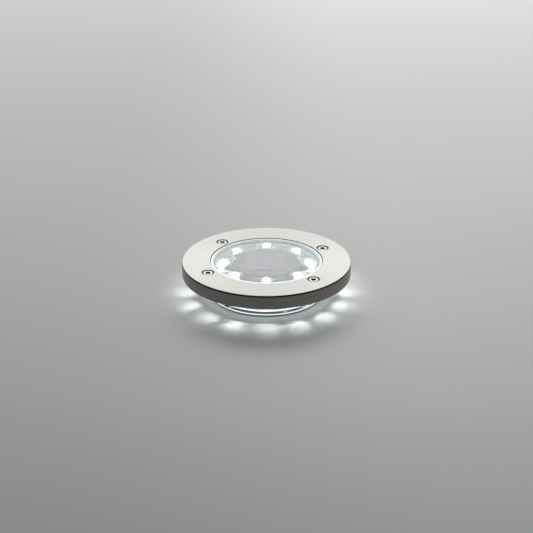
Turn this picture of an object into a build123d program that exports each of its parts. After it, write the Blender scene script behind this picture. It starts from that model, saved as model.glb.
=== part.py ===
from build123d import *
import math
import os

# In ground well light of the solar disc type: a stainless ring is screwed to the flange of a clear
# cup and clamps a flat lens over it. A closed drum stands in the middle of the cup. It carries the
# solar cell on top, eight light emitting diodes round its side and the battery and board inside.
# Millimetres. The origin is the centre of the cup's underside, +Z is up, and -Y is the front.

os.makedirs("parts", exist_ok=True)

# ---------------------------------------------------------------- clear cup
cup_wall = 2.5
cup_base_thickness = 2.5
cup_outer_edge_radius = 1.5
cup_inner_edge_radius = 1.0
flange_thickness = 5.0

# ---------------------------------------------------------------- stainless ring
ring_diameter = 120.0
ring_plate_thickness = 4.5
skirt_drop = 5.5               # side wall below the plate
skirt_wall = 3.0
ring_edge_radius = 0.5
window_chamfer = 0.3
lip_width = 3.2                # lip that holds the lens down
lip_thickness = 2.7
flange_clearance = 0.5         # cup flange inside the side wall

# ---------------------------------------------------------------- lens and its gasket
lens_thickness = 2.5
lens_recess = 0.2              # lens face below the ring's face
lens_clearance = 0.2
lens_rim_width = 5.8
lens_rim_thickness = 2.0
lens_chamfer = 0.8
gasket_width = 4.0
gasket_thickness = 1.0
gasket_inset = 0.3

# ---------------------------------------------------------------- ring screws and inserts
screw_pattern_angle = 36.6     # degrees from the long side to the diagonal of the four screws
screw_pattern_turn = -8.7      # degrees about +Z
ring_screw_diameter = 4.0
ring_screw_length = 8.0
ring_screw_head = 8.3
ring_screw_sink = 0.3          # head below the ring's face
ring_screw_clearance = 0.2
ring_screw_point = 0.5
six_lobe_core = 2.8
six_lobe_bump = 1.1
six_lobe_depth = 1.6
insert_diameter = 5.4
insert_land = 0.4              # insert outside the lens pocket

# ---------------------------------------------------------------- fits
seat_clearance = 0.05          # cones, presses and threads that stay put
running_clearance = 0.06       # pieces that slide in a bore
turn_clearance = 0.2           # pieces that turn in a bore

# ---------------------------------------------------------------- drum in the middle
drum_wall = 1.7
drum_floor = 3.0
drum_ground_gap = 0.9          # drum's underside above the ground
drum_hole_clearance = 0.3
shoulder_width = 2.0           # step that carries the crystal ring
foot_land = 0.7                # foot outside the screw bosses
foot_thickness = 2.0
core_screw_land = 0.65         # screw holes outside the seal
core_screw_diameter = 2.5
core_screw_length = 7.5
core_screw_head = 4.6
core_screw_head_height = 1.2
core_screw_head_clearance = 0.3
core_screw_ground_gap = 0.2
core_screw_start = 22.5        # degrees, half way between two diodes
core_screw_play = 0.4          # pilot hole past the screw's point
core_slot_length = 2.8
core_slot_width = 0.8
core_slot_depth = 0.7
core_boss_diameter = 5.2
core_boss_roof = 1.0
core_seal_land = 0.7           # seal outside the hole in the cup's base
core_seal_section = 1.4
core_seal_height = 1.0

# ---------------------------------------------------------------- solar cell on the drum
panel_inset = 0.4              # panel inside the drum's edge
panel_thickness = 1.2
panel_gap = 0.7                # panel's face below the lens
cell_size = 28.0
cell_thickness = 0.25
busbar_width = 0.8
busbar_spacing = 14.0
busbar_thickness = 0.1
panel_lead_diameter = 0.8
panel_lead_spacing = 16.0
panel_lead_y = -12.0

# ---------------------------------------------------------------- diodes
led_count = 8
led_diameter = 5.0
led_length = 8.6
led_collar_diameter = 5.8
led_collar_thickness = 1.0
led_below_lens = 3.6           # diode axis below the lens
led_pad_height = 0.7           # flat pad on the drum behind each diode
led_pad_width = 6.0
lead_pitch = 2.54
lead_section = 0.5
lead_slot_clearance = 0.1
lead_inside = 2.4              # leg past the drum's inner wall

# ---------------------------------------------------------------- cut clear optics
crystal_lens_gap = 0.1
crystal_plate_thickness = 1.2
crystal_plate_clearance = 0.2
crystal_tail_length = 3.6      # clear length past the diode's tip
crystal_plate_gap = 0.3        # plate below the diode's collar
crystal_rim_clearance = 0.4    # inside the lens rim
crystal_cup_clearance = 0.9    # inside the cup's wall
crystal_led_clearance = 0.1
crystal_collar_gap = 0.3
crystal_nose_width = 11.0
crystal_waist_width = 16.0
crystal_tail_width = 9.0
crystal_front_cut = 4.0        # radial length of the two front facets
crystal_back_cut = 4.3         # radial length of the two back facets
crystal_crown_height = 2.5
crystal_crown_angle = 35.0     # degrees of the crown facets from upright

# ---------------------------------------------------------------- circuit board
board_thickness = 1.2
board_clearance = 0.4
board_cradle_gap = 0.55
board_below_legs = 0.15
board_tab_depth = 1.6
board_tab_width = 6.0
board_tab_height = 1.2
chip_length = 5.0
chip_width = 4.0
chip_height = 1.5
chip_y = -8.0
inductor_diameter = 6.0
inductor_height = 4.5
inductor_edge = 0.5
inductor_place = (10.0, -9.0)
capacitor_diameter = 5.0
capacitor_height = 8.0
capacitor_edge = 0.4
capacitor_place = (-10.0, -9.0)

# ---------------------------------------------------------------- battery, cradle and contacts
battery_diameter = 10.2
battery_length = 28.0
battery_nub_diameter = 3.6
battery_nub_length = 1.0
battery_side_play = 0.3
battery_top_play = 0.15
battery_drop = 0.1             # battery below the cradle's open side
cradle_wall = 1.0
cradle_lug_gap = 0.6           # cradle above the cap's lugs
cradle_ear_length = 3.4
cradle_ear_width = 4.4
cradle_ear_thickness = 1.2
cradle_ledge_width = 6.0
cradle_ledge_gap = 0.8         # ledge beside the cap's lugs
cradle_screw_reach = 2.1       # screw from the cradle's end wall
cradle_screw_diameter = 2.0
cradle_screw_head = 3.2
cradle_screw_head_height = 1.2
cradle_screw_grip = 1.5        # thread in the ledge
cradle_screw_play = 0.2
contact_thickness = 0.4
contact_width = 8.0
contact_tail_width = 2.0
contact_tail_clearance = 0.1
contact_inset = 0.7            # plate above the cradle's open side
spring_length = 2.6
spring_wire = 0.5
spring_turns = 2.5
spring_diameter = 5.0

# ---------------------------------------------------------------- bayonet cap
cap_edge_land = 1.3            # drum's floor outside the cap's recess
cap_button_land = 0.84         # floor between the cap's recess and the button's groove
cap_ground_gap = 0.6
cap_flange_thickness = 1.3
cap_battery_play = 0.63        # battery inside the cap's opening
cap_floor_thickness = 2.0
cap_ring_wall = 1.8
cap_lug_reach = 1.6
cap_lug_height = 1.1
cap_lug_angle = 24.0
cap_lug_count = 3
cap_lug_start = 90.0
cap_notch_play = 2.0           # degrees each side of a lug
cap_release_turn = 30.0
cap_recess_depth = 1.7
cap_seal_width = 0.9
cap_seal_inset = 0.2
cap_seal_land = 0.3            # seal outside the notches
cap_seal_gap = 0.1
cap_slot_length = 16.0
cap_slot_width = 2.2
cap_slot_depth = 1.1
cap_edge_chamfer = 0.3
cap_pad_gap = 0.3              # foam pad below the battery
cap_pad_clearance = 1.2

# ---------------------------------------------------------------- push button and switch
button_edge_land = 2.54        # drum's floor outside the button's groove
button_ground_gap = 0.5
button_diameter = 6.0
button_travel = 1.2
button_collar_diameter = 7.6
button_collar_thickness = 0.8
button_collar_gap = 0.1
button_dish_diameter = 4.2
button_dish_depth = 0.3
button_seal_width = 0.9
button_seal_height = 1.0
switch_width = 9.6
switch_depth = 7.0
switch_height = 6.0
switch_gap = 0.2               # switch above the pressed button's collar
switch_rib_gap = 0.25
switch_rib_thickness = 1.35
switch_rib_inset = 0.3
plunger_diameter = 3.0
plunger_in_switch = 2.0
plunger_over_travel = 0.6

# ---------------------------------------------------------------- heights, from the ground up
foot_top = cup_base_thickness + foot_thickness
drum_floor_top = drum_ground_gap + drum_floor
core_head_seat = core_screw_ground_gap + core_screw_head_height
core_pilot_top = core_head_seat + core_screw_length + core_screw_play
cap_flange_top = cap_ground_gap + cap_flange_thickness
cap_recess_top = drum_ground_gap + cap_recess_depth
cap_floor_top = cap_ground_gap + cap_floor_thickness
cap_lug_bottom = drum_floor_top + turn_clearance
cap_lug_top = cap_lug_bottom + cap_lug_height
button_collar_bottom = drum_floor_top + button_collar_gap
button_collar_top = button_collar_bottom + button_collar_thickness
button_seal_bottom = drum_ground_gap + (drum_floor - button_seal_height) / 2
switch_bottom = button_collar_top + button_travel + switch_gap
plunger_top = switch_bottom + plunger_in_switch
cradle_bottom = cap_lug_top + cradle_lug_gap
battery_z = cradle_bottom + battery_diameter / 2 - battery_drop
cradle_cavity_top = battery_z + battery_diameter / 2 + battery_top_play
cradle_top = cradle_cavity_top + cradle_wall
board_bottom = cradle_top + board_cradle_gap
board_top = board_bottom + board_thickness
lead_bottom = board_top + board_below_legs
led_z = lead_bottom + lead_section / 2
crystal_plate_top = led_z - led_collar_diameter / 2 - crystal_plate_gap
shoulder_height = crystal_plate_top - crystal_plate_thickness
lens_bottom = led_z + led_below_lens
lens_top = lens_bottom + lens_thickness
crystal_top = lens_bottom - crystal_lens_gap
crystal_girdle_top = crystal_top - crystal_crown_height
panel_top = lens_bottom - panel_gap
drum_top = panel_top - panel_thickness
ring_top = lens_top + lens_recess
lip_bottom = ring_top - lip_thickness
lens_rim_bottom = lip_bottom - lens_rim_thickness
gasket_bottom = lens_rim_bottom - gasket_thickness
flange_top = ring_top - ring_plate_thickness
ring_bottom = flange_top - skirt_drop
cup_height = flange_top - flange_thickness

# ---------------------------------------------------------------- radii, from the battery outwards
cradle_half_cavity = (
    (battery_length + battery_nub_length + spring_length) / 2 + contact_thickness
)
cradle_half_length = cradle_half_cavity + cradle_wall
cradle_cavity_width = battery_diameter + 2 * battery_side_play
cradle_screw_x = cradle_half_length + cradle_screw_reach
battery_reach = math.hypot((battery_length + battery_nub_length) / 2, battery_diameter / 2)
cap_spigot_radius = battery_reach + cap_battery_play
cap_ring_inner = cap_spigot_radius - cap_ring_wall
cap_lug_radius = cap_spigot_radius + cap_lug_reach
cap_notch_radius = cap_lug_radius + turn_clearance
cap_flange_radius = cap_notch_radius + cap_seal_land + cap_seal_width + cap_seal_inset
cap_recess_radius = cap_flange_radius + turn_clearance
button_radius = button_diameter / 2
button_collar_radius = button_collar_diameter / 2
button_hole_radius = button_radius + running_clearance
button_groove_radius = button_hole_radius + button_seal_width
drum_base_radius = (
    cap_edge_land
    + 2 * cap_recess_radius
    + cap_button_land
    + 2 * button_groove_radius
    + button_edge_land
) / 2
cap_y = drum_base_radius - cap_edge_land - cap_recess_radius
button_y = button_edge_land + button_groove_radius - drum_base_radius
drum_base_inner = drum_base_radius - drum_wall
drum_radius = drum_base_radius - shoulder_width
drum_inner = drum_radius - drum_wall
drum_hole_radius = drum_base_radius + drum_hole_clearance
panel_radius = drum_radius - panel_inset
board_radius = drum_inner - board_clearance
core_seal_inner = drum_hole_radius + core_seal_land
core_seal_outer = core_seal_inner + core_seal_section
core_screw_hole_radius = core_screw_diameter / 2 + turn_clearance
core_screw_circle_radius = core_seal_outer + core_screw_land + core_screw_hole_radius
foot_radius = core_screw_circle_radius + core_boss_diameter / 2 + foot_land
led_pad_radius = drum_radius + led_pad_height
led_tip_radius = led_pad_radius + led_length
crystal_inner = led_pad_radius + led_collar_thickness + crystal_collar_gap
crystal_plate_inner = led_pad_radius + crystal_plate_clearance
crystal_outer = led_tip_radius + crystal_tail_length
crystal_tail_x = math.sqrt(crystal_outer**2 - (crystal_tail_width / 2) ** 2)
cup_inner = crystal_outer + crystal_cup_clearance
cup_radius = cup_inner + cup_wall
lens_rim_inner = crystal_outer + crystal_rim_clearance
lens_rim_radius = lens_rim_inner + lens_rim_width
pocket_radius = lens_rim_radius + lens_clearance
window_radius = pocket_radius - lip_width
lens_radius = window_radius - lens_clearance
gasket_outer = lens_rim_radius - gasket_inset
insert_radius = insert_diameter / 2
screw_circle_radius = pocket_radius + insert_land + insert_radius
ring_radius = ring_diameter / 2
skirt_radius = ring_radius - skirt_wall
flange_radius = skirt_radius - flange_clearance

# ---------------------------------------------------------------- angles worked out from the sizes
led_angles = [index * 360 / led_count for index in range(led_count)]
board_tab_angles = [45 + index * 90 for index in range(4)]
cap_lug_angles = [cap_lug_start + index * 360 / cap_lug_count for index in range(cap_lug_count)]


def save(part, name):
    """Label a finished piece and write it to its own file."""
    part.label = name
    export_step(part, f"parts/{name}.step")


def ring_section(inner, outer, bottom, top):
    """Upright section of a ring, in the current sketch on the XZ plane."""
    with Locations(((inner + outer) / 2, (bottom + top) / 2)):
        Rectangle(outer - inner, top - bottom)


def ring_sector(inner, outer, middle_angle, width_angle):
    """Piece of a flat ring, in the current sketch."""
    start = middle_angle - width_angle / 2
    with BuildLine() as outline:
        near = CenterArc((0, 0), inner, start, width_angle)
        far = CenterArc((0, 0), outer, start, width_angle)
        Line(near @ 0, far @ 0)
        Line(near @ 1, far @ 1)
    make_face(outline.edges())


def crystal_outline():
    """Plan of one cut optic with eight sides, in the current sketch, narrow at nose and tail."""
    right_side = [
        (crystal_inner, -crystal_nose_width / 2),
        (crystal_inner + crystal_front_cut, -crystal_waist_width / 2),
        (crystal_tail_x - crystal_back_cut, -crystal_waist_width / 2),
        (crystal_tail_x, -crystal_tail_width / 2),
    ]
    left_side = [(x, -y) for x, y in reversed(right_side)]
    with BuildLine() as outline:
        Polyline(*right_side, *left_side, close=True)
    make_face(outline.edges())


def ring_screw_places(height):
    """The four ring screws: a rectangle turned about the light's axis."""
    turned = Location((0, 0, height), (0, 0, screw_pattern_turn))
    diagonal = math.radians(screw_pattern_angle)
    long_side = 2 * screw_circle_radius * math.cos(diagonal)
    short_side = 2 * screw_circle_radius * math.sin(diagonal)
    grid = GridLocations(long_side, short_side, 2, 2)
    return [turned * place for place in grid.locations]


def core_screw_places():
    """The four drum screws on their circle."""
    return PolarLocations(core_screw_circle_radius, 4, start_angle=core_screw_start)


def facing_outwards(angle, radius, height):
    """Upright plane beside the drum whose normal points outwards."""
    turn = math.radians(angle)
    outward = Vector(math.cos(turn), math.sin(turn), 0)
    sideways = Vector(-math.sin(turn), math.cos(turn), 0)
    return Plane(origin=outward * radius + Vector(0, 0, height), x_dir=sideways, z_dir=outward)


def level_outwards(angle, height):
    """Level plane whose X axis points outwards."""
    turn = math.radians(angle)
    outward = (math.cos(turn), math.sin(turn), 0)
    return Plane(origin=(0, 0, height), x_dir=outward, z_dir=(0, 0, 1))


def level_at(x, y, height):
    """Level plane with its origin over a point."""
    return Plane(origin=(x, y, height), x_dir=(1, 0, 0), z_dir=(0, 0, 1))


# ---------------------------------------------------------------- stainless ring
with BuildPart() as bezel:
    with BuildSketch(Plane.XZ):
        with BuildLine():
            Polyline(
                (window_radius, ring_top),
                (ring_radius, ring_top),
                (ring_radius, ring_bottom),
                (skirt_radius, ring_bottom),
                (skirt_radius, flange_top),
                (pocket_radius, flange_top),
                (pocket_radius, lip_bottom),
                (window_radius, lip_bottom),
                close=True,
            )
        make_face()
    revolve(axis=Axis.Z)
    top_edges = bezel.edges().filter_by(GeomType.CIRCLE).group_by(Axis.Z)[-1].sort_by(SortBy.RADIUS)
    fillet(top_edges[-1], radius=ring_edge_radius)
    chamfer(top_edges[0], length=window_chamfer)
    foot_edges = bezel.edges().filter_by(GeomType.CIRCLE).group_by(Axis.Z)[0].sort_by(SortBy.RADIUS)
    fillet(foot_edges[-1], radius=ring_edge_radius)
    with Locations(*ring_screw_places(ring_top)):
        CounterSinkHole(
            radius=ring_screw_diameter / 2 + ring_screw_clearance,
            counter_sink_radius=ring_screw_head / 2 + ring_screw_sink + seat_clearance,
            counter_sink_angle=90,
        )
save(bezel.part, "bezel")

# ---------------------------------------------------------------- ring screws
ring_head_cone = (ring_screw_head - ring_screw_diameter) / 2
with BuildPart() as bezel_screw:
    with BuildSketch(Plane.XZ):
        with BuildLine():
            Polyline(
                (0, 0),
                (ring_screw_head / 2, 0),
                (ring_screw_diameter / 2, -ring_head_cone),
                (ring_screw_diameter / 2, ring_screw_point - ring_screw_length),
                (ring_screw_diameter / 2 - ring_screw_point, -ring_screw_length),
                (0, -ring_screw_length),
                close=True,
            )
        make_face()
    revolve(axis=Axis.Z)
    with BuildSketch(Plane.XY):
        Circle(six_lobe_core / 2)
        with PolarLocations(six_lobe_core / 2, 6):
            Circle(six_lobe_bump / 2)
    extrude(amount=-six_lobe_depth, mode=Mode.SUBTRACT)
with BuildPart() as bezel_screws:
    with Locations(*ring_screw_places(ring_top - ring_screw_sink)):
        add(bezel_screw.part)
save(bezel_screws.part, "bezel_screws")

# ---------------------------------------------------------------- threaded inserts in the flange
with BuildPart() as threaded_inserts:
    with BuildSketch(Plane.XY.offset(cup_height)):
        with Locations(*ring_screw_places(0)):
            Circle(insert_radius)
            Circle(ring_screw_diameter / 2 + seat_clearance, mode=Mode.SUBTRACT)
    extrude(amount=flange_thickness)
save(threaded_inserts.part, "threaded_inserts")

# ---------------------------------------------------------------- lens
with BuildPart() as lens:
    with BuildSketch(Plane.XZ):
        with BuildLine():
            Polyline(
                (0, lens_bottom),
                (lens_rim_inner, lens_bottom),
                (lens_rim_inner, lens_rim_bottom),
                (lens_rim_radius, lens_rim_bottom),
                (lens_rim_radius, lip_bottom),
                (lens_radius, lip_bottom),
                (lens_radius, lens_top - lens_chamfer),
                (lens_radius - lens_chamfer, lens_top),
                (0, lens_top),
                close=True,
            )
        make_face()
    revolve(axis=Axis.Z)
save(lens.part, "lens")

# ---------------------------------------------------------------- lens gasket
with BuildPart() as lens_gasket:
    with BuildSketch(Plane.XZ):
        ring_section(gasket_outer - gasket_width, gasket_outer, gasket_bottom, lens_rim_bottom)
    revolve(axis=Axis.Z)
save(lens_gasket.part, "lens_gasket")

# ---------------------------------------------------------------- clear cup with its flange
with BuildPart() as clear_housing:
    with BuildSketch(Plane.XZ):
        with BuildLine():
            Polyline(
                (drum_hole_radius, 0),
                (cup_radius, 0),
                (cup_radius, cup_height),
                (flange_radius, cup_height),
                (flange_radius, flange_top),
                (pocket_radius, flange_top),
                (pocket_radius, gasket_bottom),
                (cup_inner, gasket_bottom),
                (cup_inner, cup_base_thickness),
                (drum_hole_radius, cup_base_thickness),
                close=True,
            )
        make_face()
    revolve(axis=Axis.Z)
    ground_edges = clear_housing.edges().filter_by(GeomType.CIRCLE).group_by(Axis.Z)[0]
    fillet(ground_edges.sort_by(SortBy.RADIUS)[-1], radius=cup_outer_edge_radius)
    inside_edges = clear_housing.edges().filter_by(GeomType.CIRCLE).filter_by_position(
        Axis.Z, cup_base_thickness, cup_base_thickness)
    fillet(inside_edges.sort_by(SortBy.RADIUS)[-1], radius=cup_inner_edge_radius)
    with BuildSketch(Plane.XY.offset(cup_height)):
        with Locations(*ring_screw_places(0)):
            Circle(insert_radius + seat_clearance)
    extrude(amount=flange_thickness, mode=Mode.SUBTRACT)
    with BuildSketch(Plane.XY):
        with core_screw_places():
            Circle(core_screw_head / 2 + core_screw_head_clearance)
    extrude(amount=core_head_seat, mode=Mode.SUBTRACT)
    with BuildSketch(Plane.XY):
        with core_screw_places():
            Circle(core_screw_hole_radius)
    extrude(amount=cup_base_thickness, mode=Mode.SUBTRACT)
save(clear_housing.part, "clear_housing")

# ---------------------------------------------------------------- drum in the middle
with BuildPart() as core_tub:
    with BuildSketch(Plane.XZ):
        with BuildLine():
            Polyline(
                (0, drum_ground_gap),
                (drum_base_radius, drum_ground_gap),
                (drum_base_radius, cup_base_thickness),
                (foot_radius, cup_base_thickness),
                (foot_radius, foot_top),
                (drum_base_radius, foot_top),
                (drum_base_radius, shoulder_height),
                (drum_radius, shoulder_height),
                (drum_radius, drum_top),
                (drum_inner, drum_top),
                (drum_inner, shoulder_height - drum_wall),
                (drum_base_inner, shoulder_height - drum_wall),
                (drum_base_inner, drum_floor_top),
                (0, drum_floor_top),
                close=True,
            )
        make_face()
    revolve(axis=Axis.Z)
    # groove for the seal on the cup's base
    with BuildSketch(Plane.XZ):
        ring_section(
            core_seal_inner - seat_clearance,
            core_seal_outer + seat_clearance,
            cup_base_thickness,
            cup_base_thickness + core_seal_height,
        )
    revolve(axis=Axis.Z, mode=Mode.SUBTRACT)
    # bosses for the screws from below
    with BuildSketch(Plane.XY.offset(foot_top)):
        with core_screw_places():
            Circle(core_boss_diameter / 2)
    extrude(amount=core_pilot_top + core_boss_roof - foot_top)
    with BuildSketch(Plane.XY.offset(cup_base_thickness)):
        with core_screw_places():
            Circle(core_screw_diameter / 2 + seat_clearance)
    extrude(amount=core_pilot_top - cup_base_thickness, mode=Mode.SUBTRACT)
    # flat pads behind the diodes, with open slots for their legs
    for angle in led_angles:
        with BuildSketch(level_outwards(angle, crystal_plate_top + crystal_plate_clearance)):
            with Locations(((drum_inner + led_pad_radius + drum_wall / 2) / 2, 0)):
                Rectangle(led_pad_radius - drum_inner - drum_wall / 2, led_pad_width)
        extrude(amount=drum_top - crystal_plate_top - crystal_plate_clearance)
    for angle in led_angles:
        with BuildSketch(level_outwards(angle, lead_bottom - lead_slot_clearance)):
            with Locations(((drum_inner + led_pad_radius) / 2, 0)):
                with GridLocations(0, lead_pitch, 1, 2):
                    Rectangle(
                        2 * (led_pad_radius - drum_inner),
                        lead_section + 2 * lead_slot_clearance,
                    )
        extrude(amount=drum_top - lead_bottom + lead_slot_clearance, mode=Mode.SUBTRACT)
    # tabs under the circuit board
    for angle in board_tab_angles:
        with BuildSketch(level_outwards(angle, board_bottom - board_tab_height)):
            with Locations((drum_inner + (drum_wall - board_tab_depth) / 2, 0)):
                Rectangle(drum_wall + board_tab_depth, board_tab_width)
            Circle(drum_inner + drum_wall / 2, mode=Mode.INTERSECT)
        extrude(amount=board_tab_height)
    # ledges under the battery cradle's ears
    ledge_start = cap_lug_radius + cradle_ledge_gap
    with BuildSketch(Plane.XY.offset(drum_floor_top)):
        for side in (-1, 1):
            with Locations((side * (ledge_start + drum_base_radius) / 2, cap_y)):
                Rectangle(drum_base_radius - ledge_start, cradle_ledge_width)
        Circle(drum_base_inner + drum_wall / 2, mode=Mode.INTERSECT)
    extrude(amount=cradle_bottom - drum_floor_top)
    with BuildSketch(Plane.XY.offset(cradle_bottom)):
        with Locations((-cradle_screw_x, cap_y), (cradle_screw_x, cap_y)):
            Circle(cradle_screw_diameter / 2 + seat_clearance)
    extrude(amount=-cradle_screw_grip - cradle_screw_play, mode=Mode.SUBTRACT)
    # service opening with the bayonet cap's recess and notches
    with BuildSketch(level_at(0, cap_y, drum_ground_gap)):
        Circle(cap_spigot_radius + turn_clearance)
    extrude(amount=drum_floor, mode=Mode.SUBTRACT)
    with BuildSketch(level_at(0, cap_y, drum_ground_gap)):
        Circle(cap_recess_radius)
    extrude(amount=cap_recess_depth, mode=Mode.SUBTRACT)
    with BuildSketch(level_at(0, cap_y, cap_recess_top)):
        for angle in cap_lug_angles:
            ring_sector(
                cap_spigot_radius,
                cap_notch_radius,
                angle - cap_release_turn,
                cap_lug_angle + 2 * cap_notch_play,
            )
    extrude(amount=drum_floor_top - cap_recess_top, mode=Mode.SUBTRACT)
    # hole for the push button, with a groove for its seal
    with BuildSketch(level_at(0, button_y, drum_ground_gap)):
        Circle(button_hole_radius)
    extrude(amount=drum_floor, mode=Mode.SUBTRACT)
    with BuildSketch(level_at(0, button_y, button_seal_bottom)):
        Circle(button_groove_radius)
    extrude(amount=button_seal_height, mode=Mode.SUBTRACT)
    # two ribs that carry the switch over the button
    rib_start = button_collar_radius + switch_rib_gap
    with BuildSketch(level_at(0, button_y, drum_floor_top)):
        for side in (-1, 1):
            with Locations((side * (rib_start + switch_rib_thickness / 2), 0)):
                Rectangle(switch_rib_thickness, switch_depth - 2 * switch_rib_inset)
    extrude(amount=switch_bottom - drum_floor_top)
save(core_tub.part, "core_tub")

# ---------------------------------------------------------------- drum seal
with BuildPart() as core_seal:
    with BuildSketch(Plane.XZ):
        ring_section(
            core_seal_inner,
            core_seal_outer,
            cup_base_thickness,
            cup_base_thickness + core_seal_height,
        )
    revolve(axis=Axis.Z)
save(core_seal.part, "core_seal")

# ---------------------------------------------------------------- drum screws
with BuildPart() as core_screws:
    with BuildSketch(Plane.XY.offset(core_screw_ground_gap)):
        with core_screw_places():
            Circle(core_screw_head / 2)
    extrude(amount=core_screw_head_height)
    with BuildSketch(Plane.XY.offset(core_head_seat)):
        with core_screw_places():
            Circle(core_screw_diameter / 2)
    extrude(amount=core_screw_length)
    with BuildSketch(Plane.XY.offset(core_screw_ground_gap)):
        with core_screw_places():
            Rectangle(core_slot_length, core_slot_width)
            Rectangle(core_slot_width, core_slot_length)
    extrude(amount=core_slot_depth, mode=Mode.SUBTRACT)
save(core_screws.part, "core_screws")

# ---------------------------------------------------------------- solar cell on its round carrier
with BuildPart() as panel_disc:
    with BuildSketch(Plane.XY.offset(drum_top)):
        Circle(panel_radius)
    extrude(amount=panel_thickness)
save(panel_disc.part, "panel_disc")

with BuildPart() as solar_cell:
    with BuildSketch(Plane.XY.offset(panel_top)):
        Rectangle(cell_size, cell_size)
    extrude(amount=cell_thickness)
save(solar_cell.part, "solar_cell")

with BuildPart() as cell_busbars:
    with BuildSketch(Plane.XY.offset(panel_top + cell_thickness)):
        with GridLocations(busbar_spacing, 0, 2, 1):
            Rectangle(busbar_width, cell_size)
    extrude(amount=busbar_thickness)
save(cell_busbars.part, "cell_busbars")

with BuildPart() as panel_leads:
    with BuildSketch(Plane.XY.offset(board_top)):
        with Locations((0, panel_lead_y)):
            with GridLocations(panel_lead_spacing, 0, 2, 1):
                Circle(panel_lead_diameter / 2)
    extrude(amount=drum_top - board_top)
save(panel_leads.part, "panel_leads")

# ---------------------------------------------------------------- diodes and their legs
for number, angle in enumerate(led_angles, start=1):
    with BuildPart() as led:
        with BuildSketch(facing_outwards(angle, led_pad_radius, led_z)):
            Circle(led_collar_diameter / 2)
        extrude(amount=led_collar_thickness)
        with BuildSketch(facing_outwards(angle, led_pad_radius, led_z)):
            Circle(led_diameter / 2)
        extrude(amount=led_length - led_diameter / 2)
        with Locations(facing_outwards(angle, led_tip_radius - led_diameter / 2, led_z)):
            Sphere(led_diameter / 2)
    save(led.part, f"led_{number}")

with BuildPart() as led_leads:
    for angle in led_angles:
        with BuildSketch(facing_outwards(angle, drum_inner - lead_inside, led_z)):
            with GridLocations(lead_pitch, 0, 2, 1):
                Rectangle(lead_section, lead_section)
        extrude(amount=led_pad_radius - drum_inner + lead_inside)
save(led_leads.part, "led_leads")

# ---------------------------------------------------------------- cut clear optics round the diodes
with BuildPart() as crystal_ring:
    with BuildSketch(Plane.XY.offset(shoulder_height)):
        Circle(crystal_outer)
        Circle(crystal_plate_inner, mode=Mode.SUBTRACT)
    extrude(amount=crystal_plate_thickness)
    for angle in led_angles:
        with BuildSketch(level_outwards(angle, crystal_plate_top)):
            crystal_outline()
        extrude(amount=crystal_girdle_top - crystal_plate_top)
        with BuildSketch(level_outwards(angle, crystal_girdle_top)):
            crystal_outline()
        extrude(amount=crystal_crown_height, taper=crystal_crown_angle)
    for angle in led_angles:
        with BuildSketch(facing_outwards(angle, crystal_plate_inner, led_z)):
            Circle(led_diameter / 2 + crystal_led_clearance)
        extrude(
            amount=led_tip_radius + crystal_led_clearance - crystal_plate_inner,
            mode=Mode.SUBTRACT,
        )
save(crystal_ring.part, "crystal_ring")

# ---------------------------------------------------------------- circuit board and what is on it
with BuildPart() as control_board:
    with BuildSketch(Plane.XY.offset(board_bottom)):
        Circle(board_radius)
    extrude(amount=board_thickness)
save(control_board.part, "control_board")

with BuildPart() as driver_chip:
    with BuildSketch(level_at(0, chip_y, board_bottom)):
        Rectangle(chip_length, chip_width)
    extrude(amount=-chip_height)
save(driver_chip.part, "driver_chip")

with BuildPart() as inductor:
    with BuildSketch(level_at(*inductor_place, board_bottom)):
        Circle(inductor_diameter / 2)
    extrude(amount=-inductor_height)
    chamfer(inductor.faces().sort_by(Axis.Z)[0].edges(), length=inductor_edge)
save(inductor.part, "inductor")

with BuildPart() as capacitor:
    with BuildSketch(level_at(*capacitor_place, board_bottom)):
        Circle(capacitor_diameter / 2)
    extrude(amount=-capacitor_height)
    fillet(capacitor.faces().sort_by(Axis.Z)[0].edges(), radius=capacitor_edge)
save(capacitor.part, "capacitor")

# ---------------------------------------------------------------- battery cradle
with BuildPart() as battery_cradle:
    with BuildSketch(level_at(0, cap_y, cradle_bottom)):
        Rectangle(2 * cradle_half_length, cradle_cavity_width + 2 * cradle_wall)
    extrude(amount=cradle_top - cradle_bottom)
    with BuildSketch(level_at(0, cap_y, cradle_bottom)):
        Rectangle(2 * (cradle_half_length + cradle_ear_length), cradle_ear_width)
    extrude(amount=cradle_ear_thickness)
    with BuildSketch(level_at(0, cap_y, cradle_bottom)):
        Rectangle(2 * cradle_half_cavity, cradle_cavity_width)
    extrude(amount=cradle_cavity_top - cradle_bottom, mode=Mode.SUBTRACT)
    with BuildSketch(level_at(0, cap_y, cradle_bottom)):
        with GridLocations(2 * cradle_screw_x, 0, 2, 1):
            Circle(cradle_screw_diameter / 2 + seat_clearance)
    extrude(amount=cradle_ear_thickness, mode=Mode.SUBTRACT)
    tail_slot = contact_thickness + contact_tail_clearance
    with BuildSketch(level_at(0, cap_y, cradle_cavity_top)):
        with GridLocations(2 * cradle_half_cavity - tail_slot, 0, 2, 1):
            Rectangle(tail_slot, contact_tail_width + 2 * contact_tail_clearance)
    extrude(amount=cradle_wall, mode=Mode.SUBTRACT)
save(battery_cradle.part, "battery_cradle")

with BuildPart() as cradle_screws:
    with BuildSketch(level_at(0, cap_y, cradle_bottom + cradle_ear_thickness)):
        with GridLocations(2 * cradle_screw_x, 0, 2, 1):
            Circle(cradle_screw_head / 2)
    extrude(amount=cradle_screw_head_height)
    with BuildSketch(level_at(0, cap_y, cradle_bottom + cradle_ear_thickness)):
        with GridLocations(2 * cradle_screw_x, 0, 2, 1):
            Circle(cradle_screw_diameter / 2)
    extrude(amount=-cradle_ear_thickness - cradle_screw_grip)
save(cradle_screws.part, "cradle_screws")

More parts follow.
